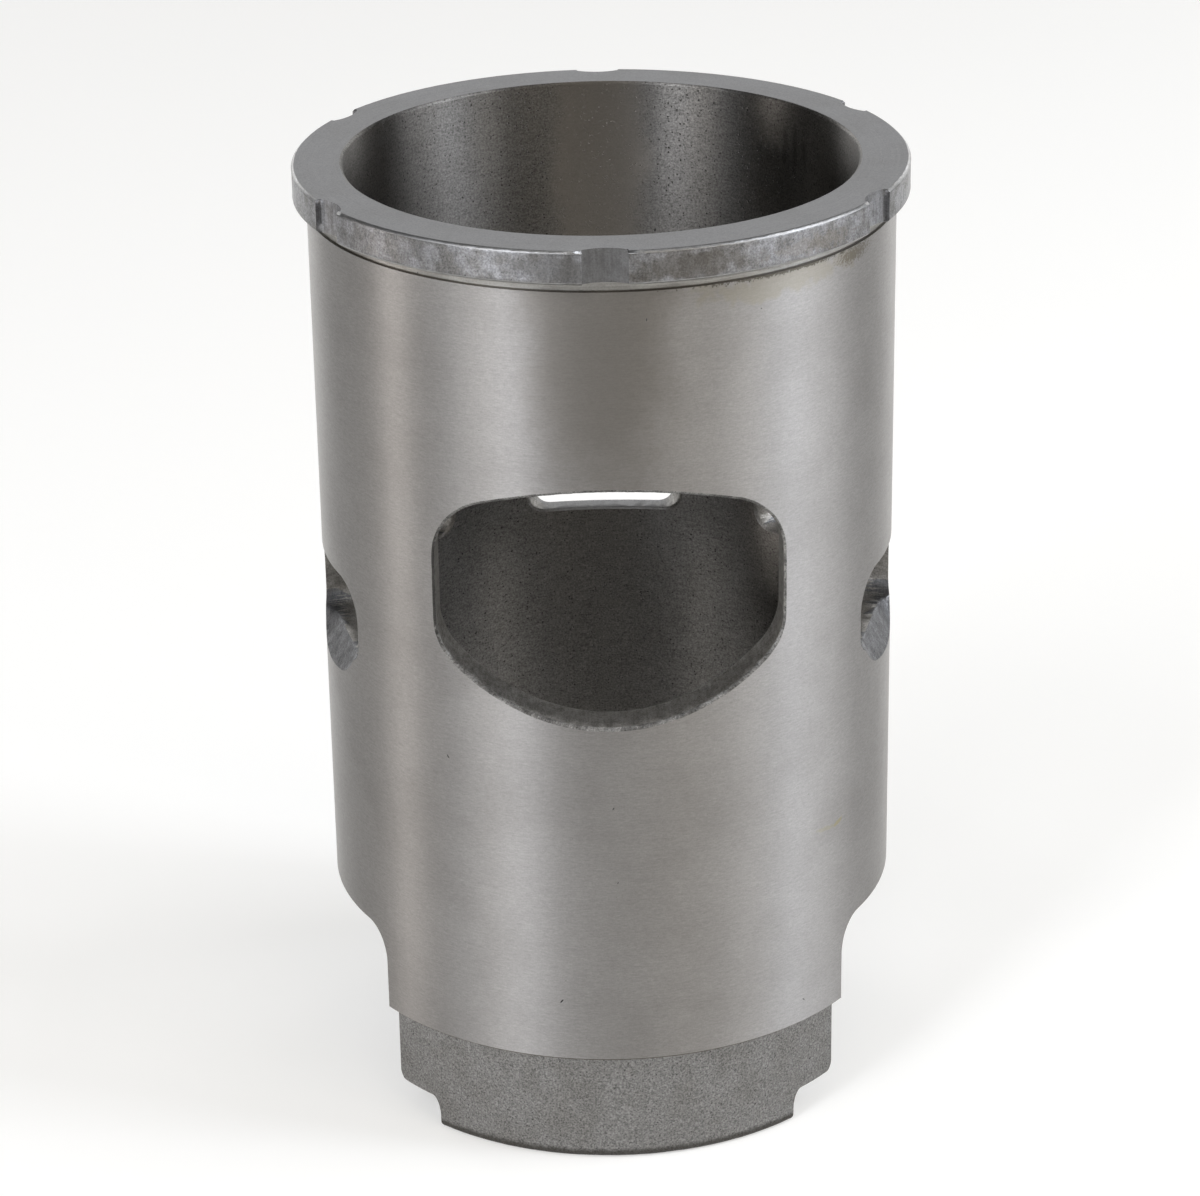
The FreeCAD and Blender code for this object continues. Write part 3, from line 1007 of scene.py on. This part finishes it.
    def roughened(self, points: np.ndarray, outwards: np.ndarray, touched: np.ndarray) -> np.ndarray:
        """Points with the rough zones' lumps, the rim's teeth and the nicks worked in.

        A lump sinks a point against its normal. Teeth move the rim's edges to and from the
        port's middle by noise along the rim, and keep those of the outer edge on the wall. A
        nick sinks the wall by its depth times 1 minus the square of the distance from its
        middle, counted in its half sizes.

        Args:
            points: Corner places, one row each.
            outwards: Their normals.
            touched: For each corner and zone, whether a face of the zone meets the corner.

        Returns:
            The moved points.
        """
        points = points.copy()
        zone_count = touched.sum(axis=1)
        for zone, relief in self.reliefs.items():
            inner = touched[:, zone.value] & (zone_count == 1)
            points[inner] -= outwards[inner] * relief.sink(points[inner])[:, None]
        body_radius = self.sizes.body_radius
        rim = points[touched[:, Zone.PORT_RIM.value]]
        across, rise = rim[:, 0], rim[:, 2] - self.sizes.port_centre
        reach = np.hypot(across, rise)
        way = np.column_stack([across / reach, np.zeros(len(reach)), rise / reach])
        circle = way * self.sizes.port_reach
        push = mixed_noise(circle, self.rim_spacings, self.tooth_share, self.rim_seeds)
        at_body = np.abs(np.hypot(rim[:, 0], rim[:, 1]) - body_radius) < self.round_tolerance
        rim = rim + way * (push * self.rim_raggedness)[:, None]
        on_wall = -np.sqrt(body_radius ** 2 - rim[:, 0] ** 2)
        rim[:, 1] = np.where(at_body, on_wall, rim[:, 1])
        points[touched[:, Zone.PORT_RIM.value]] = rim
        for nick in NICKS:
            points = self.nicked(points, nick)
        return points

    def nicked(self, points: np.ndarray, nick: Nick) -> np.ndarray:
        """Points of the ground wall sunk under one nick.

        Args:
            points: Corner places, one row each.
            nick: The nick.

        Returns:
            The moved points.
        """
        radius = np.hypot(points[:, 0], points[:, 1])
        turn = np.arctan2(points[:, 0], -points[:, 1]) - math.radians(nick.azimuth)
        arc = turn * self.sizes.body_radius / MM
        rise = points[:, 2] / MM - nick.height
        tilt = math.radians(nick.tilt)
        along = (arc * math.cos(tilt) + rise * math.sin(tilt)) / nick.half_length
        across = (rise * math.cos(tilt) - arc * math.sin(tilt)) / nick.half_width
        sunk = np.clip(1 - along ** 2 - across ** 2, 0, None) * nick.depth * MM
        sunk = np.where(np.abs(radius - self.sizes.body_radius) < self.round_tolerance, sunk, 0)
        scale = (radius - sunk) / radius
        return points * np.column_stack([scale, scale, np.ones(len(points))])

    def build(self, groups: dict[object, bpy.types.NodeTree]) -> bpy.types.Object:
        """Makes the liner's mesh, dresses it and puts it on its body.

        Args:
            groups: Shared shader groups, by their lay or their name.

        Returns:
            The liner's object.
        """
        sliced = self.sliced()
        mesh = bpy.data.meshes.new("cylinder_liner_dressed")
        sliced.to_mesh(mesh)
        sliced.free()
        points = self.rounded(read_vectors(mesh.vertices, "co"))
        mesh.vertices.foreach_set("co", points.astype(np.float32).ravel())
        mesh.update()
        zone = self.zones(read_vectors(mesh.polygons, "center"), read_vectors(mesh.polygons, "normal"))
        corners = read_numbers(mesh.loops, "vertex_index")
        corner_zone = np.repeat(zone, read_numbers(mesh.polygons, "loop_total"))
        touched = np.zeros((len(points), len(Zone)), bool)
        touched[corners, corner_zone] = True
        points = self.roughened(points, read_vectors(mesh.vertex_normals, "vector"), touched)
        points = np.clip(points, cad_box[0], cad_box[1])
        mesh.vertices.foreach_set("co", points.astype(np.float32).ravel())
        for kind in Zone:
            mesh.materials.append(FINISHES[kind].material(groups))
        mesh.polygons.foreach_set("material_index", zone.astype(np.int32))
        mesh.polygons.foreach_set("use_smooth", np.ones(len(zone), bool))
        mesh.update()
        mesh.set_sharp_from_angle(angle=self.smooth_angle)
        self.shade_round_walls(mesh, points[corners], corner_zone)
        piece = bpy.data.objects.new("cylinder_liner_dressed", mesh)
        bpy.context.scene.collection.objects.link(piece)
        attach(piece, "root")
        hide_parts("cylinder_liner")
        LOG.info("%s: %d faces, %d zones", piece.name, len(zone), len(set(zone)))
        return piece

    def shade_round_walls(self, mesh: bpy.types.Mesh, corners: np.ndarray, zone: np.ndarray) -> None:
        """Gives the corners of the ground wall, the bore and the deck the true faces' normals.

        Args:
            mesh: The liner's mesh.
            corners: Place of each face corner.
            zone: Zone number of each face corner.
        """
        normals = read_vectors(mesh.corner_normals, "vector")
        radius = np.hypot(corners[:, 0], corners[:, 1])
        for kind, wall, way in (
            (Zone.GROUND_BODY, self.sizes.body_radius, 1), (Zone.HONED_BORE, self.sizes.bore_radius, -1)
        ):
            round_wall = (zone == kind.value) & (np.abs(radius - wall) < self.merge_distance)
            normals[round_wall, :2] = way * corners[round_wall, :2] / wall
            normals[round_wall, 2] = 0
        normals[zone == Zone.DECK.value] = (0, 0, 1)
        mesh.normals_split_custom_set(normals.tolist())


@dataclass(frozen=True)
class Lamp:
    """One softbox: where it stands round the liner, its size and its light."""

    name: str
    azimuth: float
    elevation: float
    width: float
    height: float
    strength: float
    tone: Tone = (1.0, 1.0, 1.0)
    distance: float = 1.3

    def build(self, target: Vector) -> None:
        """Adds the lamp, turned to the middle of the liner.

        Args:
            target: The point it is aimed at.
        """
        light = bpy.data.lights.new(self.name, "AREA")
        light.shape = "RECTANGLE"
        light.size = self.width
        light.size_y = self.height
        light.energy = self.strength * math.pi * self.width * self.height
        light.color = self.tone
        turn, rise = math.radians(self.azimuth), math.radians(self.elevation)
        way = Vector((math.sin(turn) * math.cos(rise), -math.cos(turn) * math.cos(rise), math.sin(rise)))
        lamp = bpy.data.objects.new(self.name, light)
        lamp.location = target + way * self.distance
        lamp.rotation_mode = "QUATERNION"
        lamp.rotation_quaternion = (-way).to_track_quat("-Z", "Y")
        lamp.visible_camera = False
        bpy.context.scene.collection.objects.link(lamp)


@dataclass
class Studio:
    """Pale floor, white surroundings and softboxes.

    The floor's lift is the glow that the background's rays see on top of its tone. It grows
    by the far lift between the two far reaches from the liner.
    """

    floor_half: float = 3.0
    floor_tone: Tone = (0.680, 0.672, 0.650)
    floor_lift: float = 0.36
    far_lift: float = 0.45
    far_reaches: tuple[float, float] = (0.9, 1.7)
    room_level: float = 0.30
    room_shade: float = 0.05
    bright_back: tuple[float, float] = (0.6, 0.95)
    lamps: tuple[Lamp, ...] = (
        Lamp("front left key", -35.5, 30, 0.25, 1.3, 6.2, (0.92, 0.945, 1.0)),
        Lamp("front left fill", -54, 30, 0.55, 1.3, 1.1, (0.88, 0.92, 1.0)),
        Lamp("left strip", -85, 5, 0.20, 0.30, 11.5, (1.0, 0.94, 0.90)),
        Lamp("front top", 0, 55, 0.50, 0.6, 1.1, (1.0, 0.93, 0.82)),
        Lamp("overhead", 0, 89, 0.80, 0.8, 0.6),
        Lamp("left window light", -48, 20, 0.24, 0.50, 4.0, (1.0, 0.96, 0.90)),
        Lamp("right window light", 54, 20, 0.28, 0.50, 3.6, (1.0, 0.96, 0.90)),
        Lamp("right fill", 30, 30, 0.55, 1.3, 0.8, (1.0, 0.92, 0.80)),
        Lamp("right key", 74, 30, 0.24, 1.3, 5.9, (0.86, 0.91, 1.0)),
        Lamp("right bank", 90, 30, 0.55, 1.3, 3.1, (0.94, 0.96, 1.0)),
        Lamp("right rear bank", 144, 12, 0.40, 0.5, 2.1),
        Lamp("left rear bank", -147, 12, 0.40, 0.5, 2.1),
    )

    def seen_rays(self, board: Board) -> Socket:
        """1 for rays that show the background: the camera's, mirrored and refracted ones.

        Args:
            board: The board of the material that asks.

        Returns:
            The output that tells the rays apart.
        """
        path = board.add("LightPath").outputs
        either = board.math("MAXIMUM", path["Is Camera Ray"], path["Is Glossy Ray"])
        return board.math("MAXIMUM", either, path["Is Transmission Ray"])

    def build_floor(self) -> None:
        """Adds the floor, which the background's rays see a little lighter."""
        half = self.floor_half
        mesh = bpy.data.meshes.new("floor")
        corners = [(-half, -half, 0), (half, -half, 0), (half, half, 0), (-half, half, 0)]
        mesh.from_pydata(corners, [], [(0, 1, 2, 3)])
        floor = bpy.data.objects.new("floor", mesh)
        bpy.context.scene.collection.objects.link(floor)
        material = bpy.data.materials.new("pale floor")
        material.use_nodes = True
        board = Board(material.node_tree)
        matt = board.add("BsdfDiffuse", {"Color": (*self.floor_tone, 1.0)}).outputs[0]
        place = board.add("TexCoord").outputs["Object"]
        reach = board.add("VectorMath", {0: place}, operation="LENGTH").outputs[1]
        far = board.times(board.step(reach, *self.far_reaches), self.far_lift)
        lift = board.times(self.seen_rays(board), board.math("ADD", far, self.floor_lift))
        glow = board.add("Emission", {"Color": WHITE, "Strength": lift}).outputs[0]
        both = board.add("AddShader", {0: matt, 1: glow}).outputs[0]
        board.add("OutputMaterial", {"Surface": both})
        mesh.materials.append(material)

    def build_world(self) -> None:
        """Sets the surroundings: a plain level, and white where they are seen.

        The liner mirrors them dark, but for their back, which it mirrors white.
        """
        world = bpy.data.worlds.new("studio")
        bpy.context.scene.world = world
        world.use_nodes = True
        board = Board(world.node_tree)
        path = board.add("LightPath").outputs
        way = board.add("SeparateXYZ", {"Vector": board.add("TexCoord").outputs["Generated"]}).outputs
        behind = board.step(way[1], *self.bright_back)
        behind = board.math("MULTIPLY_ADD", behind, 1.0 - self.room_shade, self.room_shade)
        change = board.math("SUBTRACT", behind, self.room_level)
        plain = board.math("MULTIPLY_ADD", path["Is Glossy Ray"], change, self.room_level)
        strength = board.math("MAXIMUM", plain, path["Is Camera Ray"])
        strength = board.math("MAXIMUM", strength, path["Is Transmission Ray"])
        glow = board.add("Background", {"Color": WHITE, "Strength": strength}).outputs[0]
        board.add("OutputWorld", {"Surface": glow})

    def build(self, target: Vector) -> None:
        """Adds everything around the liner.

        Args:
            target: The point that the lamps are aimed at.
        """
        self.build_floor()
        self.build_world()
        for lamp in self.lamps:
            lamp.build(target)


@dataclass(frozen=True)
class PhotoCamera:
    """Pinhole camera whose view fits the part's outline: it looks at the deck's middle."""

    focal_px: float = 3888.609
    image_width: int = 1200
    sensor: float = 36.0
    distance: float = 0.605813
    elevation: float = math.radians(17.035)
    azimuth: float = math.radians(-0.45)
    yaw: float = math.radians(-0.124)
    pitch: float = math.radians(23.554)
    roll: float = math.radians(-0.941)

    def build(self, deck_height: float) -> None:
        """Adds the camera and makes it the scene's.

        Args:
            deck_height: Height of the deck above the floor.
        """
        back = self.distance * math.cos(self.elevation)
        place = Vector((0, -back, self.distance * math.sin(self.elevation)))
        forward = Vector((
            math.sin(self.yaw) * math.cos(self.pitch), math.cos(self.yaw) * math.cos(self.pitch),
            -math.sin(self.pitch),
        ))
        level = Vector((math.cos(self.yaw), -math.sin(self.yaw), 0))
        upright = level.cross(forward)
        right = math.cos(self.roll) * level + math.sin(self.roll) * upright
        up = -math.sin(self.roll) * level + math.cos(self.roll) * upright
        axes = Matrix((right, up, -forward)).transposed()
        turned = Matrix.Rotation(self.azimuth, 3, "Z")
        data = bpy.data.cameras.new("photo camera")
        data.sensor_width = self.sensor
        data.lens = self.focal_px * self.sensor / self.image_width
        camera = bpy.data.objects.new("photo camera", data)
        stand = turned @ place + Vector((0, 0, deck_height))
        camera.matrix_world = Matrix.Translation(stand) @ (turned @ axes).to_4x4()
        bpy.context.scene.collection.objects.link(camera)
        bpy.context.scene.camera = camera


def main() -> None:
    """Builds the liner, the studio and the camera."""
    logging.basicConfig(level=logging.INFO)
    scene = bpy.context.scene
    scene.view_settings.view_transform = "Standard"
    groups = {lay: tool_lines_group(lay) for lay in Lay}
    groups |= {"sand": sand_group(), "pits": pits_group(), "stain_or_painted_light": stain_or_painted_light_group()}
    liner = CylinderLiner()
    liner.build(groups)
    Studio().build(Vector((0, 0, liner.sizes.total_length / 2)))
    PhotoCamera().build(liner.sizes.total_length)


if __name__ == "__main__":
    main()
